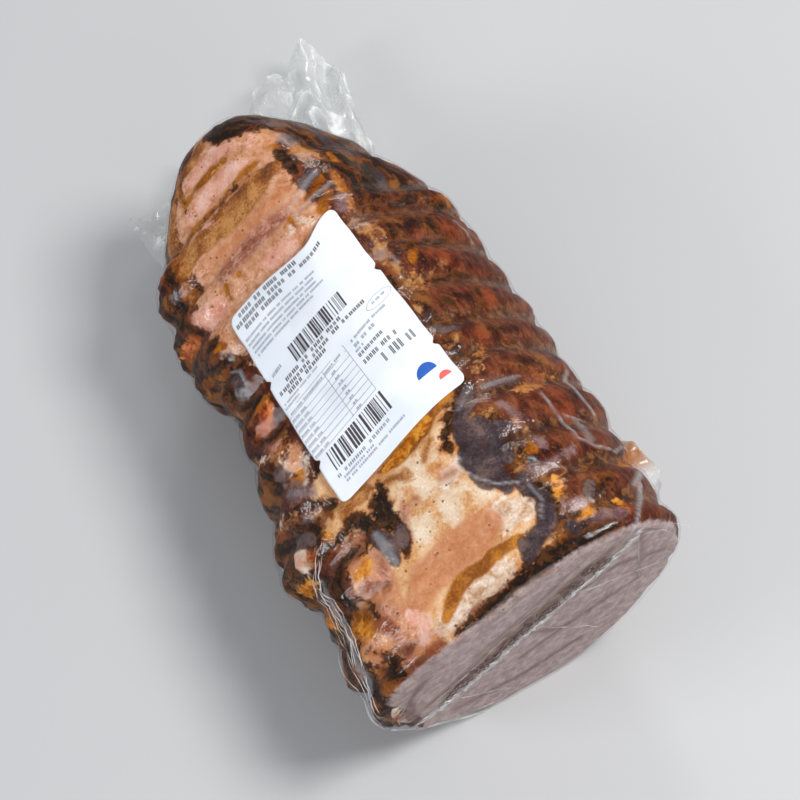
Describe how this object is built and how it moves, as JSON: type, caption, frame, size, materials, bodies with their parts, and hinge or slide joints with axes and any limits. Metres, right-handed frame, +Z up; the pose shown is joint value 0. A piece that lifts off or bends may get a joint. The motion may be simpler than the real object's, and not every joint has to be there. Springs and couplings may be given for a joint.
{
  "type": "vacuum-packed roast pork",
  "caption": "String-tied roast pork with a flat cut face, vacuum-packed in a tight clear bag with a crumpled tail and a paper label.",
  "frame": {"origin": "bottom centre of the bounding box, on the surface that the roast lies on", "axes": "+Z up; +Y along the roast, from the flat cut face to the domed end and the bag's tail; +X towards the ridged brown flank"},
  "size_m": [0.184, 0.377, 0.1303],
  "materials": {
    "bagged_meat": "browned roast meat under clear glossy film",
    "label_paper": null
  },
  "bodies": {
    "root": {"vacuum_bag": "bagged_meat", "label": "label_paper"}
  },
  "joints": []
}
